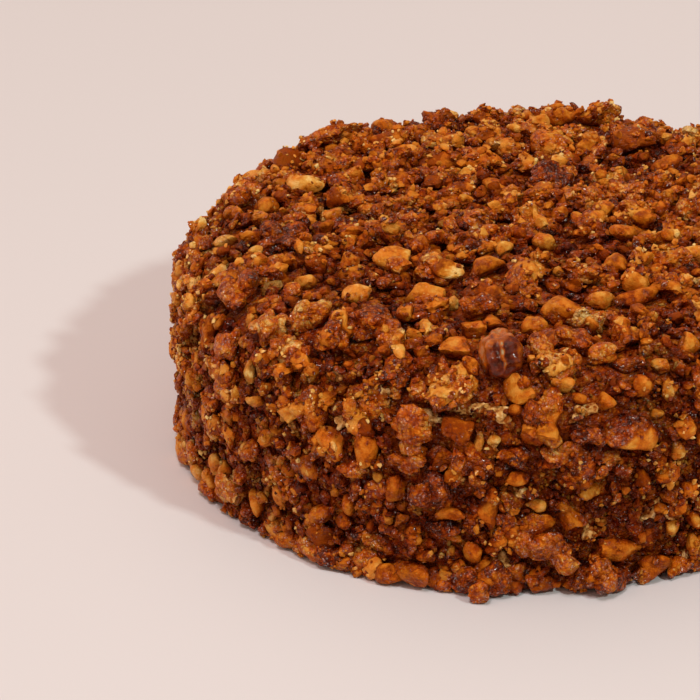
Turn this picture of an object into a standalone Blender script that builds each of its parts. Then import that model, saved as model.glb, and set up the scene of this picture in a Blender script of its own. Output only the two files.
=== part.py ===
"""A whole round praline nut cake, about 20 cm across and 7 cm high.

The cake is uncut and covered with cream, and its top and side are pressed all over with
chopped caramelised nuts. The coat can't be told apart from what it sticks to, so the cake
and its coat are one solid: an uneven bed, with lumps of praline crumb and pieces of nut
fused on. The few pieces as large as a berry are solids of their own, each in a seat.

Lengths are in metres, +Z is up, and the cake stands on z = 0 with its axis on the Z axis.
The front is at -Y. A bearing is an angle round the axis from the front, positive to the
right, and "along" is the way down the outline from the middle of the top to the foot.
"""

import math
import random

import bmesh
import bpy
import numpy as np
from mathutils import Matrix, Vector, noise

# The bed of cream and crumb, without its bumps.
BED_RADIUS = 0.0935
FOOT_RADIUS = 0.0937
BED_HEIGHT = 0.0626
TOP_DOME = 0.0015
EDGE_ROUND = 0.0200
SIDE_BULGE = 0.0008
BED_POINTS = 3150
FOOT_RING_POINTS = 132
POINTED_SHARE = 0.985  # share of the bed's area that the even points cover, above the ring
OUTLINE_STEPS = 80

# The slow unevenness of a coat put on by hand, and the crumb on the bumps.
WAVE_HEIGHT = 0.0016
WAVE_WIDTH = 0.0420
CRUMB_HEIGHT = 0.0010
CRUMB_WIDTH = 0.0045

# Rises and dips of the top's edge: bearing in degrees, along, width, rise.
SWELLS = (
    (166, 0.078, 0.022, 0.0030),
    (-142, 0.080, 0.016, 0.0024),
    (-167, 0.078, 0.014, -0.0008),
    (60, 0.060, 0.026, 0.0012),
    (-60, 0.020, 0.022, -0.0014),
)

# Praline all over, the largest first: how many, largest and smallest size. The lumps and the
# pieces of nut stand clear enough to be fused on, and the rest are bumps of the bed.
CRUMB_LUMPS = (30, 0.0165, 0.0130)
NUT_PIECES = (32, 0.0120, 0.0100)
BUMPS = (700, 0.0150, 0.0075)
LUMP_SIDES = (6, 4)  # round and down the ball that each is made from
NUT_SIDES = (5, 3)
COAT_UNEVEN = 0.60  # how far a ball's points are pushed in and out, over its radius
COAT_SUNK = 0.38  # share of a fused piece that is below the bed
BUMP_RISE = 0.36  # height of a bump over its size
BUMP_HALF_WIDTH = 0.56
CLOSENESS = 0.78  # least distance between two pieces, over the mean of their sizes
TRIES = 40
REACH = 0.0990  # the pressed coat stays within this radius
CLEAR_OF_FLOOR = 0.0003
SEED = 20

# Pieces as large as a berry, each a solid of its own: name, bearing in degrees, along,
# (across, up the outline, out of it), spin in degrees, share that is sunk.
LARGE_PIECES = (
    ("dark_nut", -6.3, 0.0790, (0.0105, 0.0150, 0.0125), 8, 0.34),
    ("top_cluster", -40.0, 0.0373, (0.0170, 0.0150, 0.0100), 20, 0.38),
    ("edge_cluster", -86.5, 0.0661, (0.0160, 0.0155, 0.0105), 0, 0.38),
    ("edge_lump", 1.5, 0.0965, (0.0140, 0.0140, 0.0110), 30, 0.40),
    ("side_flake", 15.4, 0.1012, (0.0150, 0.0100, 0.0070), -12, 0.38),
    ("foot_cluster", -7.3, 0.1428, (0.0115, 0.0100, 0.0105), 15, 0.06),
    ("foot_lump", 11.2, 0.1430, (0.0125, 0.0090, 0.0100), -20, 0.06),
)
LARGE_SIDES = (9, 6)
LARGE_UNEVEN = 0.32
LARGE_ROOM = 1.1  # room that the coat leaves round each, over its size
SEAT_GAP = 0.0004


def outline():
    """The bed's outline from the middle of the top to the foot, as (radius, height) points."""
    flat = BED_RADIUS - EDGE_ROUND
    shoulder = BED_HEIGHT - TOP_DOME - EDGE_ROUND
    points = []
    for i in range(OUTLINE_STEPS):
        t = i / OUTLINE_STEPS
        points.append((flat * t, BED_HEIGHT - TOP_DOME * t * t))
    for i in range(OUTLINE_STEPS):
        turn = math.pi / 2 * i / OUTLINE_STEPS
        points.append((flat + EDGE_ROUND * math.sin(turn), shoulder + EDGE_ROUND * math.cos(turn)))
    for i in range(OUTLINE_STEPS + 1):
        t = i / OUTLINE_STEPS
        taper = (BED_RADIUS - FOOT_RADIUS) * t * t
        points.append((BED_RADIUS - taper + SIDE_BULGE * math.sin(math.pi * t), shoulder * (1 - t)))
    return np.array(points)


OUTLINE = outline()
STRIDES = np.hypot(*np.diff(OUTLINE, axis=0).T)
ALONG = np.concatenate([[0], np.cumsum(STRIDES)])
MID_RADII = (OUTLINE[1:, 0] + OUTLINE[:-1, 0]) / 2
AREA = np.concatenate([[0], np.cumsum(STRIDES * MID_RADII)])  # over 2 pi, from the middle out


def bed_point(along, bearing):
    """The place on the smooth bed, and the way straight out of it."""
    radius = np.interp(along, ALONG, OUTLINE[:, 0])
    height = np.interp(along, ALONG, OUTLINE[:, 1])
    step = 0.0006
    before = max(along - step, 0)
    after = min(along + step, ALONG[-1])
    run = np.interp(after, ALONG, OUTLINE[:, 0]) - np.interp(before, ALONG, OUTLINE[:, 0])
    fall = np.interp(before, ALONG, OUTLINE[:, 1]) - np.interp(after, ALONG, OUTLINE[:, 1])
    aside = Vector((math.sin(bearing), -math.cos(bearing), 0))
    out = (aside * fall + Vector((0, 0, run))).normalized()
    return aside * radius + Vector((0, 0, height)), out


def coat_places(draw):
    """Even places for the praline, the largest first, clear of the large pieces. Each place is
    (along, bearing, size), in one list for each kind."""
    taken = []
    sizes = []
    for _, bearing, along, size, *_ in LARGE_PIECES:
        taken.append(bed_point(along, math.radians(bearing))[0])
        sizes.append(max(size) * LARGE_ROOM)
    kinds = []
    for count, largest, smallest in (CRUMB_LUMPS, NUT_PIECES, BUMPS):
        found = []
        for i in range(count):
            size = largest + (smallest - largest) * i / count
            apart = CLOSENESS * (size + np.array(sizes)) / 2
            for _ in range(TRIES):
                along = float(np.interp(draw.random() * AREA[-1], AREA, ALONG))
                bearing = draw.uniform(-math.pi, math.pi)
                spot = bed_point(along, bearing)[0]
                if (np.linalg.norm(np.array(taken) - spot, axis=1) > apart).all():
                    taken.append(spot)
                    sizes.append(size)
                    found.append((along, bearing, size))
                    break
        kinds.append(found)
    return kinds


LUMP_PLACES, NUT_PLACES, BUMP_PLACES = coat_places(random.Random(SEED))


def relief(spots):
    """Height of the uneven bed over the smooth one, at each of these places."""
    spots = np.array(spots)
    height = np.zeros(len(spots))
    for along, bearing, size in BUMP_PLACES:
        middle = bed_point(along, bearing)[0]
        half = size * BUMP_HALF_WIDTH
        inside = 1 - (np.linalg.norm(spots - middle, axis=1) / half) ** 2
        height = np.maximum(height, BUMP_RISE * size * np.sqrt(np.clip(inside, 0, 1)))
    for bearing, along, width, rise in SWELLS:
        middle = bed_point(along, math.radians(bearing))[0]
        height += rise * np.exp(-((np.linalg.norm(spots - middle, axis=1) / width) ** 2))
    for i, spot in enumerate(spots):
        height[i] += noise.noise(spot / WAVE_WIDTH) * WAVE_HEIGHT
        height[i] += noise.noise(spot / CRUMB_WIDTH) * CRUMB_HEIGHT
    return height


def angle_keeping_ball():
    """For each step down the outline, the polar angle on a ball that keeps angles: faces drawn
    between points laid out on the ball are well shaped on the cake too."""
    growth = np.concatenate([[0], np.cumsum(STRIDES[1:] / MID_RADII[1:])])
    laid_flat = np.concatenate([[0], ALONG[1] * np.exp(growth)])
    foot_angle = math.radians(150)
    return 2 * np.arctan(laid_flat / laid_flat[-1] * math.tan(foot_angle / 2))


def bed_mesh():
    """Even points by equal areas and the golden angle, a ring round the foot, and the middle of
    the underside. The faces come from a hull round the same points on a ball."""
    polar = angle_keeping_ball()
    golden = math.pi * (3 - math.sqrt(5))
    places = []
    for i in range(BED_POINTS):
        share = (i + 0.5) / BED_POINTS
        along = np.interp(share * AREA[-1] * POINTED_SHARE, AREA, ALONG)
        places.append((along, i * golden))
    for i in range(FOOT_RING_POINTS):
        places.append((ALONG[-1], math.tau * i / FOOT_RING_POINTS))

    shape = bmesh.new()
    for along, bearing in places:
        angle = np.interp(along, ALONG, polar)
        aside = Vector((math.sin(bearing), -math.cos(bearing), 0))
        shape.verts.new(aside * math.sin(angle) + Vector((0, 0, math.cos(angle))))
    shape.verts.new((0, 0, -1))
    shape.verts.ensure_lookup_table()
    points = list(shape.verts)
    bmesh.ops.convex_hull(shape, input=points)
    smooth = [bed_point(along, bearing) for along, bearing in places]
    heights = relief([spot for spot, _ in smooth])
    for point, (spot, out), height in zip(points, smooth, heights):
        point.co = spot + out * height
    for point in points[BED_POINTS:]:
        point.co.z = 0
    points[-1].co = (0, 0, 0)
    bmesh.ops.recalc_face_normals(shape, faces=shape.faces)
    mesh = bpy.data.meshes.new("cake")
    shape.to_mesh(mesh)
    shape.free()
    return mesh


def seat_frame(along, bearing, spin, lean, sunk, height):
    """Where a piece sits: X goes round the cake, Y up its outline and Z out of it."""
    spot, out = bed_point(along, bearing)
    spot = spot + out * relief([spot])[0]
    across = Vector((math.cos(bearing), math.sin(bearing), 0))
    up = out.cross(across)
    axes = Matrix((across, up, out)).transposed().to_4x4()
    turn = Matrix.Rotation(spin, 4, "Z") @ Matrix.Rotation(lean, 4, "X")
    return Matrix.Translation(spot + out * height * (0.5 - sunk)) @ axes @ turn


def lump_mesh(name, size, sides, uneven, seat, draw):
    """A closed lump with few sides: a ball pushed in and out, stretched and put in its seat,
    and kept off the floor."""
    shape = bmesh.new()
    around, down = sides
    bmesh.ops.create_uvsphere(shape, u_segments=around, v_segments=down, radius=0.5)
    shift = Vector((draw.uniform(-9, 9), draw.uniform(-9, 9), draw.uniform(-9, 9)))
    for point in shape.verts:
        swell = 1 + uneven * noise.noise(point.co * 3 + shift)
        point.co = Vector((c * swell * s for c, s in zip(point.co, size)))
        point.co = seat @ point.co
        point.co.z = max(point.co.z, CLEAR_OF_FLOOR)
    bmesh.ops.triangulate(shape, faces=shape.faces, quad_method="FIXED")
    mesh = bpy.data.meshes.new(name)
    shape.to_mesh(mesh)
    shape.free()
    return mesh


def colour(name, rgb, roughness):
    """A plain finish; none of the cake is metal."""
    material = bpy.data.materials.new(name)
    material.use_nodes = True
    shader = material.node_tree.nodes["Principled BSDF"]
    shader.inputs["Base Color"].default_value = (*rgb, 1)
    shader.inputs["Roughness"].default_value = roughness
    shader.inputs["Metallic"].default_value = 0
    material.diffuse_color = (*rgb, 1)
    return material


def piece(name, mesh, material, home):
    """One object with its material, in a collection of the scene or of the coat."""
    mesh.materials.clear()
    mesh.materials.append(material)
    body = bpy.data.objects.new(name, mesh)
    home.objects.link(body)
    return body


def apply_modifiers(body):
    """Turns the object's evaluated shape into its own mesh."""
    bpy.context.view_layer.update()
    evaluated = body.evaluated_get(bpy.context.evaluated_depsgraph_get())
    made = bpy.data.meshes.new_from_object(evaluated)
    old = body.data
    body.modifiers.clear()
    body.data = made
    bpy.data.meshes.remove(old)


def keep_main_body(mesh):
    """Drops loose scraps and fills hollows that fusing has sealed, by keeping one skin."""
    shape = bmesh.new()
    shape.from_mesh(mesh)
    left = set(shape.faces)
    skins = []
    while left:
        skin = {left.pop()}
        edge_of_skin = list(skin)
        while edge_of_skin:
            face = edge_of_skin.pop()
            for edge in face.edges:
                for other in edge.link_faces:
                    if other in left:
                        left.remove(other)
                        skin.add(other)
                        edge_of_skin.append(other)
        skins.append(skin)
    skins.sort(key=len)
    for skin in skins[:-1]:
        bmesh.ops.delete(shape, geom=list(skin), context="FACES")
    bmesh.ops.triangulate(shape, faces=shape.faces)
    shape.to_mesh(mesh)
    shape.free()


def add_coat(home, material):
    """Lumps of praline crumb, and flatter, longer pieces of nut, sunk part way into the bed."""
    draw = random.Random(SEED + 1)
    kinds = ((LUMP_PLACES, LUMP_SIDES, 0.82, 0.25), (NUT_PLACES, NUT_SIDES, 0.70, 0.50))
    for places, sides, slim, tilt in kinds:
        for along, bearing, size in places:
            name = f"coat_{len(home.objects)}"
            width = size * slim * draw.uniform(0.88, 1.12)
            height = size * draw.uniform(0.52, 0.68)
            spin = draw.uniform(0, math.tau)
            lean = draw.uniform(-tilt, tilt)
            seat = seat_frame(along, bearing, spin, lean, COAT_SUNK, height)
            mesh = lump_mesh(name, (size, width, height), sides, COAT_UNEVEN, seat, draw)
            for point in mesh.vertices:
                reach = math.hypot(point.co.x, point.co.y)
                if reach > REACH:
                    point.co.xy *= REACH / reach
            piece(name, mesh, material, home)


def boolean(body, operation, collection):
    """Joins or cuts with all of a collection at once, and uses the collection up."""
    step = body.modifiers.new(operation.lower(), "BOOLEAN")
    step.operation = operation
    step.operand_type = "COLLECTION"
    step.collection = collection
    step.solver = "EXACT"
    apply_modifiers(body)
    for helper in list(collection.objects):
        bpy.data.objects.remove(helper)
    bpy.data.collections.remove(collection)


def helpers(name):
    """A collection for pieces that a Boolean uses up."""
    collection = bpy.data.collections.new(name)
    bpy.context.scene.collection.children.link(collection)
    return collection


def add_large_pieces(cake, finishes, plain):
    """The pieces as large as a berry, and their seats in the cake: the same shape, grown by the
    gap."""
    seats = helpers("seats")
    for i, (name, bearing, along, size, spin, sunk) in enumerate(LARGE_PIECES):
        seat = seat_frame(along, math.radians(bearing), math.radians(spin), 0, sunk, size[2])
        mesh = lump_mesh(name, size, LARGE_SIDES, LARGE_UNEVEN, seat, random.Random(i))
        piece(name, mesh, finishes.get(name, plain), bpy.context.scene.collection)
        grown = [side + 2 * SEAT_GAP for side in size]
        mesh = lump_mesh(f"{name}_seat", grown, LARGE_SIDES, LARGE_UNEVEN, seat, random.Random(i))
        piece(f"{name}_seat", mesh, plain, seats)
    boolean(cake, "DIFFERENCE", seats)


def build():
    for old in list(bpy.data.objects):
        bpy.data.objects.remove(old)
    crumb = colour("praline_crumb", (0.30, 0.09, 0.018), 0.45)
    finishes = {
        "dark_nut": colour("dark_caramel_nut", (0.13, 0.030, 0.012), 0.28),
        "side_flake": colour("golden_nut", (0.56, 0.19, 0.035), 0.40),
    }
    cake = piece("cake", bed_mesh(), crumb, bpy.context.scene.collection)
    coat = helpers("coat")
    add_coat(coat, crumb)
    boolean(cake, "UNION", coat)
    add_large_pieces(cake, finishes, crumb)
    keep_main_body(cake.data)


build()
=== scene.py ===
"""The looks of a whole, uncut praline nut cake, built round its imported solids.

First come the view, the light and the floor. Then the file follows the cake as it is put
together: the bed of sponge and cream, the few pieces as large as a berry, the cream that shows,
the pieces that catch the eye, the clusters pressed on round them, the large nuts, the nuts at
the foot, the chopped nuts between, the small bits and the fine crumbs. Lengths are in metres.
The cake stands on z = 0 with its axis on Z and its front at -Y. A bearing is an angle round the
axis from the front, positive to the right, and "along" is the way down the outline from the
middle of the top to the foot.
"""

import math
import random
from itertools import product

import bmesh
import bpy
import numpy as np
from mathutils import Matrix, Vector, noise
from mathutils.bvhtree import BVHTree


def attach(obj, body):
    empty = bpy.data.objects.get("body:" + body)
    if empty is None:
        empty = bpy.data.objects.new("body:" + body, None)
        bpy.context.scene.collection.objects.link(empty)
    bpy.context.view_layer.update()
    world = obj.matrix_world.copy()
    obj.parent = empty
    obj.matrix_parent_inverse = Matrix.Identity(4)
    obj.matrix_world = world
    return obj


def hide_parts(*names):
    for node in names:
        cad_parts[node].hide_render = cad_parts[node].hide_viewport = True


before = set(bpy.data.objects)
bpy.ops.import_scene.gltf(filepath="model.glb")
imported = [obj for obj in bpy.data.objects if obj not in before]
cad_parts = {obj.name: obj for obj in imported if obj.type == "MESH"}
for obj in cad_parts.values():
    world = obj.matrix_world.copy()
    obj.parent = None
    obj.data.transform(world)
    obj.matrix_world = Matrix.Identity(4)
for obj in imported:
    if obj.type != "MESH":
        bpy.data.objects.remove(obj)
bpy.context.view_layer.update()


# ------------------------------------------------------------------------------ the view
# The cake is looked at from a little above, through a long lens, from close to a metre away.
# The lens and the place make it the right size in a square picture.
LENS = 191.95
SENSOR = 36.0
EYE = Vector((-0.0477, -0.9482, 0.4976))
LOOK_DOWN = math.radians(26.47)
HEAD_TILT = math.radians(-1.18)


def put(name, data):
    """A new object in the scene, made of this data."""
    made = bpy.data.objects.new(name, data)
    bpy.context.scene.collection.objects.link(made)
    return made


eye = bpy.data.cameras.new("eye")
eye.lens = LENS
eye.sensor_width = SENSOR
camera = put("camera", eye)
look = Matrix.Rotation(math.pi / 2 - LOOK_DOWN, 4, "X") @ Matrix.Rotation(HEAD_TILT, 4, "Z")
camera.matrix_world = Matrix.Translation(EYE) @ look
bpy.context.scene.camera = camera


# ----------------------------------------------------------------------------- the light
# One lamp halfway up on the right and in front, which throws the shadow, a broader one overhead
# in front, which adds to the caramel's glints, and a pale warm room that fills the shadows.
LAMP_WAY = Vector((0.775, -0.74, 1.01)).normalized()
LAMP_FAR = 4.0
LAMP_SIZE = 0.31
LAMP_POWER = 68.0
LAMP_TINT = (0.83, 1.0, 0.96)
SOFT_WAY = Vector((-0.12, -0.36, 0.92)).normalized()
SOFT_FAR = 2.2
SOFT_SIZE = 0.50
SOFT_POWER = 15.5
SOFT_TINT = (1.0, 0.95, 0.96)
ROOM_BRIGHT_WAY = (-0.76, 0.20, 0.98)
ROOM_LOW = (0.16, 0.11, 0.075)
ROOM_HIGH = (0.98, 0.78, 0.67)


def light(name, way, far, size, power, tint):
    """A round lamp that faces the cake."""
    data = bpy.data.lights.new(name, "AREA")
    data.shape = "DISK"
    data.size = size
    data.energy = power
    data.color = tint
    made = put(name, data)
    made.location = way * far
    made.rotation_euler = (-way).to_track_quat("-Z", "Y").to_euler()


light("lamp", LAMP_WAY, LAMP_FAR, LAMP_SIZE, LAMP_POWER, LAMP_TINT)
light("soft_lamp", SOFT_WAY, SOFT_FAR, SOFT_SIZE, SOFT_POWER, SOFT_TINT)


def fill(tree, made, values):
    """Sets these inputs of a node, each to its number or joined to another node's output."""
    for key, value in values.items():
        if isinstance(value, bpy.types.NodeSocket):
            tree.links.new(value, made.inputs[key])
        else:
            made.inputs[key].default_value = value


def node(tree, kind, values=None, **settings):
    """A new shader node of this kind, with these inputs and settings."""
    made = tree.nodes.new("ShaderNode" + kind)
    for key, value in settings.items():
        setattr(made, key, value)
    fill(tree, made, values or {})
    return made


room = bpy.data.worlds.new("room")
room.use_nodes = True
room_nodes = room.node_tree
room_way = node(room_nodes, "TexCoord").outputs["Generated"]
room_share = node(
    room_nodes, "VectorMath", {0: room_way, 1: ROOM_BRIGHT_WAY}, operation="DOT_PRODUCT"
).outputs["Value"]
room_tints = {0: room_share, 6: (*ROOM_LOW, 1), 7: (*ROOM_HIGH, 1)}
room_colour = node(room_nodes, "Mix", room_tints, data_type="RGBA").outputs[2]
fill(room_nodes, room_nodes.nodes["Background"], {"Color": room_colour})
bpy.context.scene.world = room
bpy.context.scene.view_settings.view_transform = "Standard"


# ----------------------------------------------------------------------------- the floor
# A plain pale floor, slightly warm, painted matt.
FLOOR_HALF = 3.0
FLOOR_TINT = (0.668, 0.618, 0.622)
FLOOR_GRAIN = 0.006
FLOOR_ROUGHNESS = 0.7
CLOUDS_PER_METRE = 3.0


class Finish:
    """A material in the making, and short ways to add the nodes of its look."""

    def __init__(self, name):
        self.material = bpy.data.materials.new(name)
        self.material.use_nodes = True
        self.place = self.add("TexCoord").outputs["Object"]

    def add(self, kind, values=None, **settings):
        """A new node."""
        return node(self.material.node_tree, kind, values, **settings)

    def look(self, **values):
        """Sets or joins the shader's inputs. A key says Base_Color for Base Color."""
        tree = self.material.node_tree
        values = {key.replace("_", " "): value for key, value in values.items()}
        fill(tree, tree.nodes["Principled BSDF"], values)
        return self.material

    def read(self, key):
        """The number that each point carries under this name."""
        return self.add("Attribute", attribute_name=key).outputs["Fac"]

    def noise(self, per_metre, detail, roughness=0.5):
        """Cloudy noise with so many swells in a metre, as a number and as a colour."""
        values = {"Vector": self.place, "Scale": per_metre, "Detail": detail, "Roughness": roughness}
        return self.add("TexNoise", values).outputs

    def maths(self, operation, a, b=0.0, c=0.0):
        """A sum with up to three numbers."""
        return self.add("Math", {0: a, 1: b, 2: c}, operation=operation).outputs[0]

    def shifted(self, score, source, weight):
        """The score, moved up or down as the source is over or under its middle."""
        return self.maths("MULTIPLY_ADD", self.maths("SUBTRACT", source, 0.5), weight, score)

    def ramp(self, factor, stops):
        """Blends through these colours, each at its place from 0 to 1."""
        made = self.add("ValToRGB", {"Fac": factor})
        elements = made.color_ramp.elements
        while len(elements) < len(stops):
            elements.new(1.0)
        for element, (place, colour) in zip(elements, stops):
            element.position = place
            element.color = (*colour, 1)
        return made.outputs["Color"]

    def bump(self, height, distance):
        """The slopes of this relief."""
        values = {"Height": height, "Distance": distance, "Strength": 1.0}
        return self.add("Bump", values).outputs[0]


floor_paint = Finish("floor_paint")
dim = tuple(c * (1 - FLOOR_GRAIN) for c in FLOOR_TINT)
lit = tuple(c * (1 + FLOOR_GRAIN) for c in FLOOR_TINT)
clouds = floor_paint.noise(CLOUDS_PER_METRE, 2.0)[0]
floor_colour = floor_paint.ramp(clouds, ((0.3, dim), (0.7, lit)))

floor_shape = bmesh.new()
bmesh.ops.create_grid(floor_shape, x_segments=1, y_segments=1, size=FLOOR_HALF)
floor_mesh = bpy.data.meshes.new("floor")
floor_shape.to_mesh(floor_mesh)
floor_shape.free()
floor_mesh.materials.append(floor_paint.look(Base_Color=floor_colour, Roughness=FLOOR_ROUGHNESS))
floor = put("floor", floor_mesh)


# ------------------------------------------------------------------------------- the bed
# Sponge under cream, spread by hand, with crumbs of praline trodden into it and dark syrup over them.
# It shows only between the pieces that are pressed on, where it is dark for its syrup and as painted
# shade in the gaps, and darker in its hollows as painted shade.
BED_RADIUS = 0.0935
FOOT_RADIUS = 0.0937
BED_HEIGHT = 0.0626
TOP_DOME = 0.0015
EDGE_ROUND = 0.0200
SIDE_BULGE = 0.0008
OUTLINE_STEPS = 80
BED_POINTS = 20000
FOOT_RING_POINTS = 560
POINTED_SHARE = 0.997
BED_LOWERED = 0.0012
WAVE_HEIGHT = 0.0016
WAVE_WIDTH = 0.0420
# each swell's bearing, its way along, its width and its height
SWELLS = (
    (166, 0.078, 0.022, 0.0030),
    (-142, 0.080, 0.016, 0.0024),
    (-167, 0.078, 0.014, -0.0008),
    (60, 0.060, 0.026, 0.0012),
    (-60, 0.020, 0.022, -0.0014),
)
CRUMB_WIDTH = 0.0050
CRUMB_HEIGHT = 0.0014
DUST_WIDTH = 0.0030
DUST_HEIGHT = 0.0008
BED_DEEP = 0.72
BED_HOLLOW_SHADE = 0.4
BED_TONE = 0.50


def outline():
    """The bed's outline from the middle of the top to the foot, as (radius, height) points."""
    flat = BED_RADIUS - EDGE_ROUND
    shoulder = BED_HEIGHT - TOP_DOME - EDGE_ROUND
    points = []
    for i in range(OUTLINE_STEPS):
        t = i / OUTLINE_STEPS
        points.append((flat * t, BED_HEIGHT - TOP_DOME * t * t))
    for i in range(OUTLINE_STEPS):
        turn = math.pi / 2 * i / OUTLINE_STEPS
        points.append((flat + EDGE_ROUND * math.sin(turn), shoulder + EDGE_ROUND * math.cos(turn)))
    for i in range(OUTLINE_STEPS + 1):
        t = i / OUTLINE_STEPS
        taper = (BED_RADIUS - FOOT_RADIUS) * t * t
        points.append((BED_RADIUS - taper + SIDE_BULGE * math.sin(math.pi * t), shoulder * (1 - t)))
    return np.array(points)


OUTLINE = outline()
STRIDES = np.hypot(*np.diff(OUTLINE, axis=0).T)
ALONG = np.concatenate([[0], np.cumsum(STRIDES)])
MID_RADII = (OUTLINE[1:, 0] + OUTLINE[:-1, 0]) / 2
AREA = np.concatenate([[0], np.cumsum(STRIDES * MID_RADII)])
UP = np.array([0.0, 0.0, 1.0])


def unit(ways):
    """The same directions, each of length 1."""
    return ways / np.linalg.norm(ways, axis=-1, keepdims=True)


SLOPE_STEP = 0.0006


def outward(turns):
    """Level directions away from the cake's axis, at these bearings."""
    return np.stack([np.sin(turns), -np.cos(turns), 0 * turns], -1)


def sideways(turns):
    """Level directions round the cake's axis, at these bearings."""
    return np.stack([np.cos(turns), np.sin(turns), 0 * turns], -1)


def bed_place(along, bearing):
    """The places on the smooth bed, and the ways straight out of it."""
    before = np.maximum(along - SLOPE_STEP, 0)
    after = np.minimum(along + SLOPE_STEP, ALONG[-1])
    radius = np.interp(along, ALONG, OUTLINE[:, 0])
    height = np.interp(along, ALONG, OUTLINE[:, 1])
    run = np.interp(after, ALONG, OUTLINE[:, 0]) - np.interp(before, ALONG, OUTLINE[:, 0])
    fall = np.interp(before, ALONG, OUTLINE[:, 1]) - np.interp(after, ALONG, OUTLINE[:, 1])
    level = outward(bearing)
    outs = unit(level * fall[..., None] + UP * run[..., None])
    return level * radius[..., None] + UP * height[..., None], outs


def swells_at(points, width, shift=0.0):
    """Soft random heights, about -1 to 1, in swells of this width."""
    return np.array([noise.noise(Vector(p)) for p in points / width + shift])


def hashed(cells, salt):
    """A number from 0 to 1 for each whole-number cell, always the same one."""
    mix = cells[:, 0] * 73856093 ^ cells[:, 1] * 19349663 ^ cells[:, 2] * 83492791 ^ salt * 7919
    mix = (mix ^ mix >> 13) * 1274126177 & 0x7FFFFFFF
    return ((mix ^ mix >> 15) & 0xFFFF) / 0xFFFF


def grains_at(points, width, salt=0):
    """Packed round grains of this width: 1 on a grain's middle, 0 in the cracks between."""
    scaled = points / width
    home = np.floor(scaled).astype(np.int64)
    nearest = np.full(len(points), 2.0)
    for step in product((-1, 0, 1), repeat=3):
        cell = home + step
        middle = cell + np.stack([hashed(cell, salt + k) for k in range(3)], -1)
        nearest = np.minimum(nearest, ((scaled - middle) ** 2).sum(-1))
    return np.sqrt(np.clip(1 - nearest, 0, 1))


def bed_rise(spots):
    """Height of the hand-spread bed over the smooth one."""
    rise = WAVE_HEIGHT * swells_at(spots, WAVE_WIDTH)
    for bearing, along, width, height in SWELLS:
        middle = bed_place(np.array(along), np.radians(bearing))[0]
        rise += height * np.exp(-((np.linalg.norm(spots - middle, axis=1) / width) ** 2))
    return rise


def hull(points):
    """The triangles round these points, facing out."""
    shape = bmesh.new()
    for point in points:
        shape.verts.new(point)
    shape.verts.index_update()
    bmesh.ops.convex_hull(shape, input=shape.verts)
    bmesh.ops.recalc_face_normals(shape, faces=shape.faces)
    triangles = np.array([[v.index for v in face.verts] for face in shape.faces])
    shape.free()
    return triangles


# what later pieces can lie on
underfoot = []


def make_piece(name, points, triangles, material, slot, edge=180, **values):
    """One object from these points and triangles, which rides with the cake, and which later
    pieces can lie on. Edges that turn by more than `edge` degrees look sharp. `values` are
    numbers for each point that the finish reads."""
    mesh = bpy.data.meshes.new(name)
    mesh.from_pydata(points.reshape(-1, 3), [], triangles)
    mesh.shade_smooth()
    mesh.set_sharp_from_angle(angle=math.radians(edge))
    mesh.materials.append(material)
    for key, numbers in values.items():
        numbers = np.broadcast_to(numbers, points.shape[:-1]).ravel()
        mesh.attributes.new(key, "FLOAT", "POINT").data.foreach_set("value", numbers)
    made = put(name, mesh)
    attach(made, "root")
    underfoot.append(BVHTree.FromObject(made, bpy.context.evaluated_depsgraph_get()))
    return made


FOOT_POLAR = math.radians(150)


def polar_on_ball():
    """For each step down the outline, the polar angle on a ball that keeps angles. The bed is
    laid on that ball to find its triangles."""
    growth = np.concatenate([[0], np.cumsum(STRIDES[1:] / MID_RADII[1:])])
    laid_flat = np.concatenate([[0], ALONG[1] * np.exp(growth)])
    return 2 * np.arctan(laid_flat / laid_flat[-1] * math.tan(FOOT_POLAR / 2))


def srgb(red, green, blue):
    """A colour as it is seen, 0 to 255, in the shader's own numbers."""
    return tuple((c / 255) ** 2.2 for c in (red, green, blue))


CRUST_STOPS = (
    (0.00, srgb(97, 37, 7)),
    (0.25, srgb(156, 72, 14)),
    (0.50, srgb(195, 101, 26)),
    (0.70, srgb(208, 123, 42)),
    (0.85, srgb(217, 149, 74)),
    (1.00, srgb(234, 188, 126)),
)
FLESH_STOPS = (
    (0.00, srgb(137, 60, 12)),
    (0.25, srgb(188, 98, 26)),
    (0.50, srgb(206, 124, 46)),
    (0.75, srgb(219, 151, 74)),
    (1.00, srgb(236, 192, 128)),
)
SMALL_GRAIN = 0.00105
LARGE_GRAIN = 0.0024
SPECK_GRAIN = 0.00056
CLOUD_WIDTH = 0.0055
WARMTH_WIDTH = 0.0042
STAIN_WIDTH = 0.0034
WET_WIDTH = 0.0018
FINE_WIDTH = 0.00042
GRAIN_RELIEF = 0.001
STIRS_PER_METRE = 420.0
STIR_REACH = 0.0022
GREY = (0.5, 0.5, 0.5)
BROWN = (0.97, 1.07, 1.0)
RUBY = (1.04, 0.94, 0.80)
WARM_GLINT = (1.0, 0.54, 0.27)
# how far each of these moves the tone of the crust, and of the bare flesh
SMALL_SHIFT = 0.32
LARGE_SHIFT = 0.28
CLOUD_SHIFT = 0.7
FINE_SHIFT = 0.14
DUST_SHIFT = 0.34
WET_SHIFT = -0.07
FLESH_CLOUD_SHIFT = 0.60
FLESH_STAIN_SHIFT = -0.60
FLESH_FINE_SHIFT = 0.35
HALO_SHIFT = -0.28
# sugar crystals in the syrup: how far their faces tilt, and which share of them is dull
CRYSTAL_TILT = 1.3
CRYSTALS_FROM = 0.76
CRYSTAL_ROUGHNESS = 0.20
CRYSTAL_IOR = 2.6
SYRUP_FROM = 0.20
SYRUP_GLOSS = 0.15
FLESH_ROUGHNESS = 0.42
SOFT_GLOSS = 0.14


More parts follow.
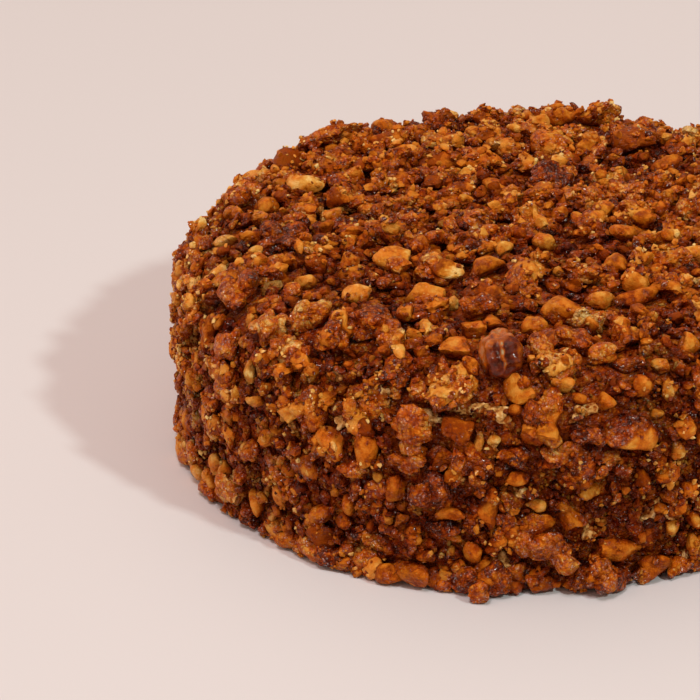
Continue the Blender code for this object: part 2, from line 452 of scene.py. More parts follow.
def praline_finish(name):
    """Praline. Where `bare` is 1 the nut's satin flesh shows, with stains of caramel, and where it is
    0 there is a crust of packed grains, each with its own tint. `tone` runs from dark to pale, and
    `deep` from the outside to the bed, where the colour is darker, for sticky syrup and as painted
    shade; the cracks and creases between the grains are darker as painted shade. The crust is wet
    with syrup in spots, and there the faces of sugar crystals glint."""
    coat = Finish(name)
    add, read, maths, shifted = coat.add, coat.read, coat.maths, coat.shifted

    def vector(operation, a, b=GREY, scale=1.0):
        return add("VectorMath", {0: a, 1: b, 3: scale}, operation=operation).outputs[0]

    def cells_of(width, at, **settings):
        return add("TexVoronoi", {"Vector": at, "Scale": 1 / width}, **settings).outputs

    def tint_of(cells):
        return add("SeparateColor", {0: cells["Color"]}).outputs[0]

    def ranged(value, low, high, at_low, at_high):
        return add("MapRange", {0: value, 1: low, 2: high, 3: at_low, 4: at_high}).outputs[0]

    def clamped(value):
        return add("Clamp", {0: value}).outputs[0]

    def mixed(share, first, second):
        return add("Mix", {0: share, 6: first, 7: second}, data_type="RGBA").outputs[2]

    # The grains, stirred so that none is a plain ball, and the clouds and stains over them.
    tone, deep, bare = read("tone"), read("deep"), read("bare")
    stir = vector("SUBTRACT", coat.noise(STIRS_PER_METRE, 2.0)[1])
    stirred = vector("ADD", coat.place, vector("SCALE", stir, scale=STIR_REACH))
    small = cells_of(SMALL_GRAIN, stirred)
    large = cells_of(LARGE_GRAIN, stirred)
    rim = cells_of(LARGE_GRAIN, stirred, feature="DISTANCE_TO_EDGE")["Distance"]
    speck = cells_of(SPECK_GRAIN, coat.place)
    cloud = coat.noise(1 / CLOUD_WIDTH, 3.0)[0]
    stain = coat.noise(1 / STAIN_WIDTH, 5.0, 0.60)[0]
    fine = coat.noise(1 / FINE_WIDTH, 2.0)[0]

    # Where the crust is, and where it is wet.
    bare_edge = maths("MULTIPLY_ADD", bare, 0.40, 0.20)
    stained = maths("SUBTRACT", stain, maths("MULTIPLY_ADD", deep, -0.16, bare_edge))
    stained = maths("MULTIPLY_ADD", maths("SUBTRACT", fine, 0.5), 0.12, stained)
    crusted = clamped(maths("MULTIPLY", stained, 6.0))
    crusted = maths("MAXIMUM", crusted, maths("LESS_THAN", bare, 0.05))
    wet = ranged(coat.noise(1 / WET_WIDTH, 3.0)[0], 0.41, 0.50, 0.0, 1.0)
    wet = maths("MULTIPLY", wet, crusted)
    wet = maths("MULTIPLY", wet, ranged(deep, 0.4, 1.0, 1.0, 0.3))

    # The tone of the crust.
    speck_tint = tint_of(speck)
    pale = ranged(speck_tint, 0.78, 0.86, 0.0, 1.0)
    dust = maths("MULTIPLY", pale, ranged(speck["Distance"], 0.30, 0.55, 1.0, 0.0))
    score = shifted(tone, tint_of(small), SMALL_SHIFT)
    score = shifted(score, tint_of(large), LARGE_SHIFT)
    score = shifted(score, cloud, CLOUD_SHIFT)
    score = shifted(score, fine, FINE_SHIFT)
    score = maths("MULTIPLY_ADD", dust, DUST_SHIFT, score)
    score = maths("MULTIPLY_ADD", wet, WET_SHIFT, score)

    # The tone of the flesh, darker close to the stains.
    flesh_score = shifted(tone, cloud, FLESH_CLOUD_SHIFT)
    flesh_score = shifted(flesh_score, stain, FLESH_STAIN_SHIFT)
    flesh_score = shifted(flesh_score, fine, FLESH_FINE_SHIFT)
    halo = clamped(maths("MULTIPLY_ADD", stained, 6.0, 0.9))
    flesh_score = maths("MULTIPLY_ADD", halo, HALO_SHIFT, flesh_score)

    # The colour, from brown to ruby, darker deep in the coat for sticky syrup and as painted shade,
    # and with painted shade in the cracks and creases.
    colour = mixed(crusted, coat.ramp(flesh_score, FLESH_STOPS), coat.ramp(score, CRUST_STOPS))
    warmth = ranged(coat.noise(1 / WARMTH_WIDTH, 2.0)[0], 0.40, 0.60, 0.0, 1.0)
    colour = vector("MULTIPLY", colour, mixed(warmth, (*BROWN, 1), (*RUBY, 1)))
    # painted shade: darker in the creases between the large grains and in the cracks between the
    # small ones
    crease = maths("MULTIPLY", ranged(rim, 0.02, 0.20, 1.0, 0.0), crusted)
    crack = ranged(small["Distance"], 0.35, 0.85, 0.0, 0.20)
    crack = maths("MULTIPLY_ADD", crack, crusted, maths("MULTIPLY", crease, 0.25))
    # darker deep in the coat, for sticky syrup and as painted shade, and painted shade in the cracks
    # and creases
    syrup_and_shade_power = maths("ADD", ranged(deep, 0.0, 1.0, 1.0, 1.45), crack)
    colour = add("Gamma", {0: colour, 1: syrup_and_shade_power}).outputs[0]
    dull = maths("MULTIPLY", ranged(deep, 0.0, 1.0, 1.0, 0.40), ranged(crease, 0.0, 1.0, 1.0, 0.75))
    colour = vector("SCALE", colour, scale=dull)

    # The relief.
    grain = maths("MULTIPLY", small["Distance"], -0.50)
    grain = maths("MULTIPLY_ADD", large["Distance"], -0.70, grain)
    grain = maths("MULTIPLY_ADD", fine, 0.22, grain)
    height = maths("MULTIPLY", grain, crusted)
    height = maths("MULTIPLY_ADD", fine, 0.20, height)
    height = maths("MULTIPLY_ADD", stain, 1.2, height)
    bump = coat.bump(height, GRAIN_RELIEF)

    # The crystals, each with its own tilt, and a thin gloss of syrup round them.
    tilt = vector("SCALE", vector("SUBTRACT", speck["Color"]), scale=CRYSTAL_TILT)
    facet = vector("NORMALIZE", vector("ADD", bump, tilt))
    lucky = maths("FRACT", maths("MULTIPLY", speck_tint, 23.0))
    core = ranged(speck["Distance"], 0.42, 0.60, 1.0, 0.0)
    crystals = maths("MULTIPLY", core, maths("GREATER_THAN", lucky, CRYSTALS_FROM))
    syrup = maths("MULTIPLY", maths("GREATER_THAN", lucky, SYRUP_FROM), SYRUP_GLOSS)
    gloss = maths("MULTIPLY", maths("MAXIMUM", crystals, syrup), wet)
    crust_roughness = ranged(score, 0.15, 0.85, 0.26, 0.46)
    roughness = add("Mix", {0: crusted, 2: FLESH_ROUGHNESS, 3: crust_roughness}).outputs[0]
    return coat.look(
        Base_Color=colour, Normal=bump, Roughness=roughness, Specular_IOR_Level=SOFT_GLOSS,
        Specular_Tint=(*WARM_GLINT, 1), Coat_Weight=gloss, Coat_Normal=facet,
        Coat_Roughness=CRYSTAL_ROUGHNESS, Coat_IOR=CRYSTAL_IOR,
    )


GOLDEN_TURN = math.pi * (3 - math.sqrt(5))
bed_shares = (np.arange(BED_POINTS) + 0.5) / BED_POINTS * POINTED_SHARE
bed_along = np.append(np.interp(bed_shares * AREA[-1], AREA, ALONG), [ALONG[-1]] * FOOT_RING_POINTS)
bed_turn = np.append(
    np.arange(BED_POINTS) * GOLDEN_TURN, np.arange(FOOT_RING_POINTS) * math.tau / FOOT_RING_POINTS
)
bed_polar = np.interp(bed_along, ALONG, polar_on_ball())[:, None]
laid_on_ball = outward(bed_turn) * np.sin(bed_polar) + UP * np.cos(bed_polar)
bed_triangles = hull(np.vstack([laid_on_ball, -UP]))
spots, outs = bed_place(bed_along, bed_turn)
relief = CRUMB_HEIGHT * (grains_at(spots, CRUMB_WIDTH) - 0.8)
relief = relief + DUST_HEIGHT * (grains_at(spots, DUST_WIDTH, 3) - 0.5)
bed_points = spots + outs * (bed_rise(spots) + relief - BED_LOWERED)[:, None]
bed_points[BED_POINTS:, 2] = 0
bed_points[:, 2] = np.maximum(bed_points[:, 2], 0)
bed_points = np.vstack([bed_points, [0, 0, 0]])
# The few points that no triangle uses are dropped.
used, bed_triangles = np.unique(bed_triangles, return_inverse=True)
bed_triangles = bed_triangles.reshape(-1, 3)

praline = praline_finish("praline")
# the bed's darkness: syrup, and painted shade in the gaps, with more painted shade in its hollows
bed_deep = np.append(BED_DEEP - BED_HOLLOW_SHADE * relief / CRUMB_HEIGHT, 1.0)
bed = make_piece(
    "bed", bed_points[used], bed_triangles, praline, "praline", tone=BED_TONE,
    deep=bed_deep[used], bare=0.0,
)
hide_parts("cake")


# -------------------------------------------------------- the pieces as large as a berry
# Seven pieces stand out of the coat: a dark whole nut, clusters on the top, its edge and the
# foot, and a flake on the side. They are pressed on first, each in the seat of its own solid.
SEED = 20
LARGE_POINTS = 1300
# bearing, along, size, turn, and the share of the thickness that is sunk in the bed
LARGE_PIECES = {
    "dark_nut": (-6.3, 0.0781, (0.0112, 0.0178, 0.0128), 8, 0.21),
    "top_cluster": (-40.0, 0.0373, (0.0170, 0.0150, 0.0100), 20, 0.26),
    "edge_cluster": (-86.5, 0.0661, (0.0160, 0.0155, 0.0105), 0, 0.27),
    "edge_lump": (1.5, 0.0965, (0.0140, 0.0140, 0.0110), 30, 0.29),
    "side_flake": (15.4, 0.1012, (0.0150, 0.0100, 0.0070), -12, 0.21),
    "foot_cluster": (-7.3, 0.1428, (0.0115, 0.0100, 0.0105), 15, -0.05),
    "foot_lump": (11.2, 0.1430, (0.0125, 0.0090, 0.0100), -20, -0.05),
}
# how many parts are stuck together, their mean tone and its spread, and the share of bare ones
LARGE_CLUSTERS = {
    "top_cluster": (16, 0.55, 0.14, 0.45),
    "edge_cluster": (12, 0.20, 0.09, 0.05),
    "edge_lump": (8, 0.42, 0.12, 0.35),
    "foot_cluster": (9, 0.28, 0.12, 0.10),
    "foot_lump": (9, 0.32, 0.14, 0.25),
}
# how far a surface swells in and out and how wide the swells are, and the same for its grains
CLUSTER_ROUGH = (0.0008, 0.0045, 0.0010, 0.0019)
FLAKE_ROUGH = (0.0008, 0.0040, 0.0003, 0.0015)
CLUSTER_BARE = 0.9
FILM_WIDTH = 0.0040
# how high over the bed the coat darkens, for sticky syrup and as painted shade
SYRUP_AND_SHADE_DEPTH = 0.0042
# painted light: how much paler the coat is on the left, where the room lights it, and from which
# share of its reach on
LEFT_PAINTED_LIGHT = 0.22
LEFT_FROM = 0.4
CHIPS = 3
CHIP_DEPTH = 0.34
CHIP_SPREAD = 0.11
SLAB_CHIPS = 0.4
SLAB_SKEW = 0.16
PART_CUTS = 6
SMALLEST_REACH = 0.36
SIDE_REACH = 0.0994
REACH_SWING = 0.0030
REACH_SWELL = 0.0150
FOOT_REACH = 0.1042
TOP_REACH = 0.0712
OFF_FLOOR = 0.0002


def ball(count):
    """Even points on a ball of radius 1, and the triangles between them."""
    steps = np.arange(count) + 0.5
    polar = np.arccos(1 - 2 * steps / count)
    turn = steps * GOLDEN_TURN
    points = np.stack([np.sin(polar) * np.cos(turn), np.sin(polar) * np.sin(turn), np.cos(polar)], -1)
    return points, hull(points)


def to_box(points):
    """The same shapes, each moved and stretched to fill a box of 1 x 1 x 1."""
    low = points.min(1, keepdims=True)
    high = points.max(1, keepdims=True)
    return (points - (low + high) / 2) / (high - low)


def chopped(count, ways, facets, crispness, draw):
    """Pieces cut by flat faces with rounded edges, which are crisper the higher `crispness`,
    and chipped here and there. With no facets asked for they are slabs."""
    if facets:
        cuts = unit(draw.normal(size=(count, facets, 3)))
        depths = draw.uniform(0.45, 1.0, (count, 1, facets))
    else:
        square = np.concatenate([np.eye(3), -np.eye(3)])
        cuts = unit(square + draw.normal(0, SLAB_SKEW, (count, 6, 3)))
        depths = draw.uniform(0.46, 0.54, (count, 1, 6))
    reach = np.einsum("vk,nfk->nvf", ways, cuts) / depths
    total = 1 + (np.clip(reach, 0, None) ** crispness).sum(-1)
    chips = unit(draw.normal(size=(count, CHIPS, 3)))
    deepest = CHIP_DEPTH if facets else SLAB_CHIPS * CHIP_DEPTH
    bites = draw.uniform(0, deepest, (count, 1, CHIPS))
    near = np.einsum("vk,nck->nvc", ways, chips)
    left = 1 - (bites * np.exp((near - 1) / CHIP_SPREAD)).sum(-1)
    return to_box(ways * (left * total ** (-1 / crispness))[..., None])


def clumped(count, ways, parts, draw):
    """Lumps of chopped pieces stuck together, as rays from the middle meet them, and which
    part each ray meets. A part is a ball with flat cuts."""
    part_scale = (9 / parts) ** 0.4
    middles = unit(draw.normal(size=(count, 1, parts, 3)))
    middles = middles * draw.uniform(0.20, 0.66, (count, 1, parts, 1))
    radii = part_scale * draw.uniform(0.26, 0.48, (count, 1, parts))
    toward = np.einsum("vk,nopk->nvp", ways, middles)
    inside = radii**2 - (middles**2).sum(-1) + toward**2
    root = np.sqrt(np.clip(inside, 0, None))
    cuts = unit(draw.normal(size=(count, 1, parts, PART_CUTS, 3)))
    limits = (cuts * middles[..., None, :]).sum(-1)
    limits = limits + radii[..., None] * draw.uniform(0.45, 0.9, (count, 1, parts, PART_CUTS))
    slopes = np.einsum("vk,nopck->nvpc", ways, cuts)
    slopes = np.where(np.abs(slopes) < 1e-4, 1e-4, slopes)
    crossings = limits / slopes
    leave = np.minimum(toward + root, np.where(slopes > 0, crossings, 9).min(-1))
    enter = np.maximum(toward - root, np.where(slopes < 0, crossings, -9).max(-1))
    met = np.where((inside > 0) & (leave > enter), leave, 0)
    reach = np.maximum(met.max(-1), SMALLEST_REACH)
    return to_box(ways * reach[..., None]), met.argmax(-1)


def roughened(shapes, ways, draw, swell, swell_width, grain, grain_width):
    """The same shapes with soft swells and packed grains pushed out of them."""
    flat = (shapes + draw.uniform(-1, 1, (len(shapes), 1, 3))).reshape(-1, 3)
    push = swell * swells_at(flat, swell_width) + grain * (grains_at(flat, grain_width) - 0.6)
    return shapes + ways * push.reshape(len(shapes), -1, 1)


def sized(shapes, length, width, thick):
    """Shapes that fill a box of 1 x 1 x 1, each brought to its own size."""
    return shapes * np.stack([length, width, thick], -1)[:, None]


def flattened(draw, shapes, sizes, thick_shares, width_shares):
    """The shapes at these lengths, thinner and narrower by random shares, and how thick."""
    thick = sizes * draw.uniform(*thick_shares, len(sizes))
    width = sizes * draw.uniform(*width_shares, len(sizes))
    return sized(shapes, sizes, width, thick), thick


def set_down(shapes, spots, outs, aheads, spins, leans):
    """Turns each shape and sets it in its place: its X goes ahead along what carries it, and
    its Z straight out."""
    across = unit(aheads - (aheads * outs).sum(-1, keepdims=True) * outs)
    up = np.cross(outs, across)
    cos, sin = np.cos(spins)[:, None], np.sin(spins)[:, None]
    x_way = across * cos + up * sin
    y_way = up * cos - across * sin
    cos, sin = np.cos(leans)[:, None], np.sin(leans)[:, None]
    axes = np.stack([x_way, y_way * cos + outs * sin, outs * cos - y_way * sin], 1)
    return np.einsum("nvk,nkj->nvj", shapes, axes) + spots[:, None]


def kept_inside(points, reach):
    """Moves each piece whole, so that it stays off the floor and inside the coat's reach, which
    is uneven, as pressed by hand."""
    middles = points.mean(1)
    reach = reach - REACH_SWING * (0.5 + 0.8 * swells_at(middles, REACH_SWELL)).clip(0, 1)
    over = (np.linalg.norm(points[..., :2], axis=-1).max(1) - reach).clip(0)
    way = middles[:, :2] / np.maximum(np.linalg.norm(middles[:, :2], axis=-1, keepdims=True), 1e-6)
    points[..., :2] -= (way * over[:, None])[:, None]
    points[..., 2] -= (points[..., 2].max(1) - TOP_REACH).clip(0)[:, None]
    points[..., 2] += (OFF_FLOOR - points[..., 2].min(1)).clip(0)[:, None]
    return points


def seats_on_bed(along, turns):
    """Seats for pieces pressed into the bed."""
    spots, outs = bed_place(along, turns)
    spots = spots + outs * (bed_rise(spots) - BED_LOWERED)[:, None]
    ahead = sideways(turns)
    return {"spots": spots, "outs": outs, "aheads": ahead, "floors": spots, "floor_outs": outs}


def press_on(
    name, slot, shapes, triangles, seats, thick, sunk, spins, leans, tone, bare,
    edge=40, reach=SIDE_REACH, material=praline,
):
    """Presses shapes into their seats and makes them one mesh, darker towards the bed, for sticky
    syrup and as painted shade, and paler on the cake's left as painted light."""
    lift = seats["outs"] * (thick * (0.5 - sunk))[:, None]
    points = set_down(shapes, seats["spots"] + lift, seats["outs"], seats["aheads"], spins, leans)
    points = kept_inside(points, reach)
    height = ((points - seats["floors"][:, None]) * seats["floor_outs"][:, None]).sum(-1)
    # darker towards the bed: sticky syrup and painted shade
    deep = np.clip(1 - height / SYRUP_AND_SHADE_DEPTH, 0, 1)
    # painted light: the coat is paler on the cake's left
    tone = tone + LEFT_PAINTED_LIGHT * np.clip(-points[..., 0] / reach - LEFT_FROM, 0, 1)
    starts = np.arange(len(points))[:, None, None] * points.shape[1]
    each = (triangles[None] + starts).reshape(-1, 3)
    return make_piece(name, points, each, material, slot, edge, tone=tone, deep=deep, bare=bare)


def seat_large(name, slot, shape, triangles, tones, bares, material=praline):
    """Sets a large piece in its own seat, in place of its solid."""
    bearing, along, size, spin, sunk = LARGE_PIECES[name]
    seat = seats_on_bed(np.array([along]), np.radians([bearing]))
    made = press_on(
        f"{name}_piece", slot, shape, triangles, seat, np.array([size[2]]), sunk,
        np.radians([spin]), np.zeros(1), tones, bares, reach=FOOT_REACH, material=material,
    )
    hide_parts(name)


large_ways, large_triangles = ball(LARGE_POINTS)
for i, (name, (parts, tone, spread, bare_share)) in enumerate(LARGE_CLUSTERS.items()):
    draw = np.random.default_rng(SEED * 100 + i)
    shape, which = clumped(1, large_ways, parts, draw)
    shape = shape * np.array(LARGE_PIECES[name][2])
    shape = roughened(shape, large_ways, draw, *CLUSTER_ROUGH)
    tones = tone + draw.normal(0, spread, parts)[which]
    bares = CLUSTER_BARE * (draw.random(parts) < bare_share)[which]
    seat_large(name, "praline", shape, large_triangles, tones, bares)

# The flake is a thin slice of nut, golden at its rim, with a film of dark caramel above.
draw = np.random.default_rng(SEED + 90)
flake_size = np.array(LARGE_PIECES["side_flake"][2])
shape = chopped(1, large_ways, 8, 12, draw) * flake_size
shape = roughened(shape, large_ways, draw, *FLAKE_ROUGH)
film = shape[..., 1] / flake_size[1] + 0.5 * swells_at(shape[0], FILM_WIDTH) + 0.12
film = np.clip(film * 4 + 0.5, 0, 1)
seat_large("side_flake", "golden_nut", shape, large_triangles, 0.52 - 0.30 * film, 1 - 0.9 * film)


# --------------------------------------------------------------------------- the dark nut
# A whole kernel in hard glossy caramel, pointed at its upper end, which is its Y. A long cleft with
# raised lips runs down its face, darkened as painted shade, and a ridge of torn skin shows pale in
# it.
SHELL_POINTS = 3000
SHELL_ROUGH = (0.0015, 0.0032, 0.00045, 0.0014)
TIP_TAPER = 0.76
BUTT_TAPER = 0.10
FACE_TURN = math.radians(42)
CLEFT_HALF_WIDTH = 0.30
CLEFT_DEPTH = 0.28
LIP_HEIGHT = 0.10
LIP_PLACE = 1.9
RIDGE_HEIGHT = 0.17
RIDGE_WIDTH = 0.42
TORN_WIDTH = 0.0011
BLOTCH_WIDTH = 0.0026
SKIN_TONE = 0.20
FILM_PALER = 0.34
CLEFT_PAINTED_SHADE = 0.22
TORN_PALER = 0.95
MOTTLES_PER_METRE = 700.0
MOTTLE_SHIFT = 0.55
MOTTLE_RELIEF = 0.0007
SKIN_ROUGHNESS = 0.34
SKIN_SOFT_GLOSS = 0.20
CARAMEL_COAT = 0.42
CARAMEL_ROUGHNESS = 0.14
NUT_SKIN_STOPS = (
    (0.00, srgb(30, 10, 10)),
    (0.22, srgb(98, 34, 20)),
    (0.50, srgb(176, 86, 16)),
    (0.68, srgb(158, 122, 84)),
    (0.90, srgb(190, 168, 132)),
)


def nut_skin(name):
    """Purple-brown skin, orange where the caramel is thin and pale where the skin is torn."""
    skin = Finish(name)
    mottle = skin.noise(MOTTLES_PER_METRE, 4.0)[0]
    score = skin.shifted(skin.read("tone"), mottle, MOTTLE_SHIFT)
    return skin.look(
        Base_Color=skin.ramp(score, NUT_SKIN_STOPS), Normal=skin.bump(mottle, MOTTLE_RELIEF),
        Roughness=SKIN_ROUGHNESS, Specular_IOR_Level=SKIN_SOFT_GLOSS,
        Specular_Tint=(*WARM_GLINT, 1), Coat_Weight=CARAMEL_COAT,
        Coat_Roughness=CARAMEL_ROUGHNESS,
    )


shell_ways, shell_triangles = ball(SHELL_POINTS)
x, y, z = (shell_ways @ np.array(Matrix.Rotation(FACE_TURN, 3, "X"))).T
taper = 1 - TIP_TAPER * y.clip(0) ** 1.2 - BUTT_TAPER * (-y).clip(0) ** 2
body = shell_ways * np.stack([taper, 1 + 0 * y, taper], -1)
bend = x * taper - 0.04 + 0.12 * y + 0.10 * swells_at(shell_ways * np.array([0, 1, 0]), 0.33)
away = bend / CLEFT_HALF_WIDTH
facing = (z / 0.4).clip(0, 1) * ((0.60 - abs(y + 0.22)) / 0.3).clip(0, 1)
cleft = np.exp(-(away**2)) * facing
lips = np.exp(-((abs(away) - LIP_PLACE) ** 2) * 2) * facing
ridge = np.exp(-((away / RIDGE_WIDTH) ** 2)) * facing
carved = CLEFT_DEPTH * cleft - LIP_HEIGHT * lips - RIDGE_HEIGHT * ridge
body = body - shell_ways * carved[:, None]
shape = to_box(body[None]) * np.array(LARGE_PIECES["dark_nut"][2])
draw = np.random.default_rng(SEED + 91)
shape = roughened(shape, shell_ways, draw, *SHELL_ROUGH)
torn = (0.80 + 1.3 * swells_at(shape[0] * np.array([1, 0.45, 1]), TORN_WIDTH)).clip(0, 1)
# The caramel's film is thin, and so orange, over the tip and both sides.
filmed = np.maximum(np.maximum(-2.6 * (x + 0.42), 2.2 * (y - 0.30)), 1.6 * (x - 0.66))
filmed = filmed + 0.8 * swells_at(shape[0], BLOTCH_WIDTH) - 0.9 * (-y - 0.5).clip(0)
filmed = filmed.clip(0, 1)
# painted shade: darker in the cleft, outside the orange film
tones = SKIN_TONE + FILM_PALER * filmed - CLEFT_PAINTED_SHADE * cleft * (1 - filmed)
tones = tones + TORN_PALER * ridge * torn
seat_large("dark_nut", "dark_nut", shape, shell_triangles, tones, 0.0, nut_skin("nut_skin"))


# ------------------------------------------------------------------------------ the cream
# Whipped cream that shows between the nuts in a few places, mostly on the side: smooth low
# dabs pushed up by the pieces round them, stained with caramel.
CREAM_TINT = srgb(240, 200, 142)
CREAM_SOAKED = srgb(208, 150, 84)
CREAM_STAIN = srgb(140, 66, 18)
CREAM_POINTS = 300
CREAM_PARTS = 7
CREAM_HEIGHT = 0.0019
CREAM_SUNK = 0.36
CREAM_LONGER = 1.25
CREAM_WIDER = 1.5
CREAM_ROUGH = (0.0010, 0.0022, 0.0005, 0.0012)
CREAM_ROUGHNESS = 0.46
CREAM_SOFT_GLOSS = 0.20
CREAM_RELIEF = 0.0016
CREAM_SYRUP_AND_SHADE = -0.36
RUNS_PER_METRE = 620.0
HIDDEN_CREAM_DABS = 50
HIDDEN_BEARING = 0.9
HIDDEN_ALONG = 0.085
HIDDEN_OFF_FOOT = 0.006
PICTURE = 700
SIGHT_ROUNDS = 2
GRAZING = 0.2
# across and down in the picture, length, width, turn in the picture
SEEN_CREAM = (
    (277, 370, 0.0080, 0.0024, -52),
    (334, 369, 0.0072, 0.0028, -60),
    (382, 389, 0.0066, 0.0032, 12),
    (424, 416, 0.0080, 0.0026, -30),
    (455, 405, 0.0070, 0.0024, -30),
    (472, 408, 0.0066, 0.0022, 14),
    (490, 409, 0.0080, 0.0026, -4),
    (502, 416, 0.0046, 0.0026, -52),
    (580, 414, 0.0052, 0.0020, 40),
    (588, 409, 0.0056, 0.0020, 10),
    (655, 519, 0.0080, 0.0030, 62),
    (676, 516, 0.0066, 0.0030, -58),
    (506, 565, 0.0066, 0.0052, 0),
    (590, 536, 0.0040, 0.0030, -30),
    (280, 524, 0.0030, 0.0030, 0),
    (690, 560, 0.0080, 0.0034, 30),
    (522, 497, 0.0050, 0.0026, -10),
    (338, 424, 0.0040, 0.0026, 60),
)


def cream_finish():
    """Soft cream, stained where syrup has run over it, and browner towards the bed, for syrup and as
    painted shade.
    """
    cream = Finish("cream")
    run = cream.noise(RUNS_PER_METRE, 5.0)[0]
    # browner towards the bed: syrup stain and painted shade
    stain_and_shade = cream.maths("MULTIPLY_ADD", cream.read("deep"), CREAM_SYRUP_AND_SHADE, run)
    stops = ((0.16, CREAM_STAIN), (0.34, CREAM_SOAKED), (0.50, CREAM_TINT))
    return cream.look(
        Base_Color=cream.ramp(stain_and_shade, stops), Normal=cream.bump(run, CREAM_RELIEF),
        Roughness=CREAM_ROUGHNESS, Specular_IOR_Level=CREAM_SOFT_GLOSS,
        Specular_Tint=(*WARM_GLINT, 1),
    )


def seats_seen(across, down, lift):
    """Seats on the bed for pieces whose middles, `lift` above the bed, are at these places in
    the picture. Their X goes to the right in the picture."""
    right, up, back = (np.array(camera.matrix_world.col[i][:3]) for i in range(3))
    ways = right * (across - PICTURE / 2)[:, None] + up * (PICTURE / 2 - down)[:, None]
    ways = unit(ways - back * PICTURE * LENS / SENSOR)
    eye_at = np.array(EYE)
    along = np.zeros(len(ways))
    turns = np.zeros(len(ways))
    for i, way in enumerate(ways):
        hit = underfoot[0].ray_cast(EYE, Vector(way))[0]
        if hit is None:
            hit = EYE + Vector(way) * (EYE.length - BED_RADIUS)
            hit.z = max(hit.z, 0)
        for _ in range(SIGHT_ROUNDS):
            turns[i] = math.atan2(hit.x, -hit.y)
            gaps = np.hypot(OUTLINE[:, 0] - math.hypot(hit.x, hit.y), OUTLINE[:, 1] - hit.z)
            along[i] = ALONG[gaps.argmin()]
            spot, out = bed_place(along[i], turns[i])
            facing = -(way * out).sum()
            if facing < GRAZING:
                break
            far = ((eye_at - spot) * out).sum() / facing
            hit = Vector(eye_at + way * (far - lift[i] / facing) - out * lift[i])
    seats = seats_on_bed(along, turns)
    seats["aheads"] = np.tile(right, (len(ways), 1))
    return seats


across, down, length, width, spins = np.array(SEEN_CREAM).T
draw = np.random.default_rng(SEED + 4)
seats = seats_seen(across, down, np.full(len(across), CREAM_HEIGHT))
hidden = seats_on_bed(
    draw.uniform(HIDDEN_ALONG, ALONG[-1] - HIDDEN_OFF_FOOT, HIDDEN_CREAM_DABS),
    draw.uniform(HIDDEN_BEARING, math.tau - HIDDEN_BEARING, HIDDEN_CREAM_DABS),
)
seats = {key: np.vstack([seats[key], hidden[key]]) for key in seats}
length = np.append(length, draw.uniform(0.005, 0.011, HIDDEN_CREAM_DABS))
width = np.append(width, draw.uniform(0.003, 0.005, HIDDEN_CREAM_DABS))
spins = np.append(spins, draw.uniform(-90, 90, HIDDEN_CREAM_DABS))
thick = 0 * length + 2 * CREAM_HEIGHT
cream_ways, cream_triangles = ball(CREAM_POINTS)
shapes = clumped(len(length), cream_ways, CREAM_PARTS, draw)[0]
shapes = sized(shapes, length * CREAM_LONGER, width * CREAM_WIDER, thick)
shapes = roughened(shapes, cream_ways, draw, *CREAM_ROUGH)
press_on(
    "cream", "praline", shapes, cream_triangles, seats, thick, CREAM_SUNK, np.radians(spins),
    0 * spins, 0.0, 0.0, edge=180, material=cream_finish(),
)
cream_spots = seats["spots"]
cream_widths = width


# -------------------------------------------------------- the pieces that catch the eye
# Nut halves, chips and lumps that stand out in the front of the cake. Each is at its own place
# in the picture, set down on the bed behind that place, and what comes later keeps off it.
SEEN_POINTS = 260
SEEN_NUT_ROUGH = (0.0006, 0.0030, 0.0004, 0.0016)
SEEN_LUMP_ROUGH = (0.0008, 0.0042, 0.0009, 0.0019)
SEEN_NUT_SUNK = 0.02
SEEN_LUMP_SUNK = 0.06
# how high the middle of a piece is over the bed, as a share of its thickness
SEEN_NUT_MIDDLE = 0.48
SEEN_LUMP_MIDDLE = 0.44
# a listed crispness from SLAB_FROM on makes a slab, and all pieces are CRISPER than listed
SEEN_FACETS = 9
SLAB_FROM = 12
CRISPER = 9
LUMP_PALER = 0.14
LUMP_CONTRAST = 0.9
LUMP_TONE_SPREAD = 0.09
LARGE_FROM = 0.0070
LARGE_BARE = 0.76
SMALL_BARE = 0.86
KEPT_CLEAR = 0.62
LARGE_KEEPS = 0.9
CREAM_KEEPS = 0.1
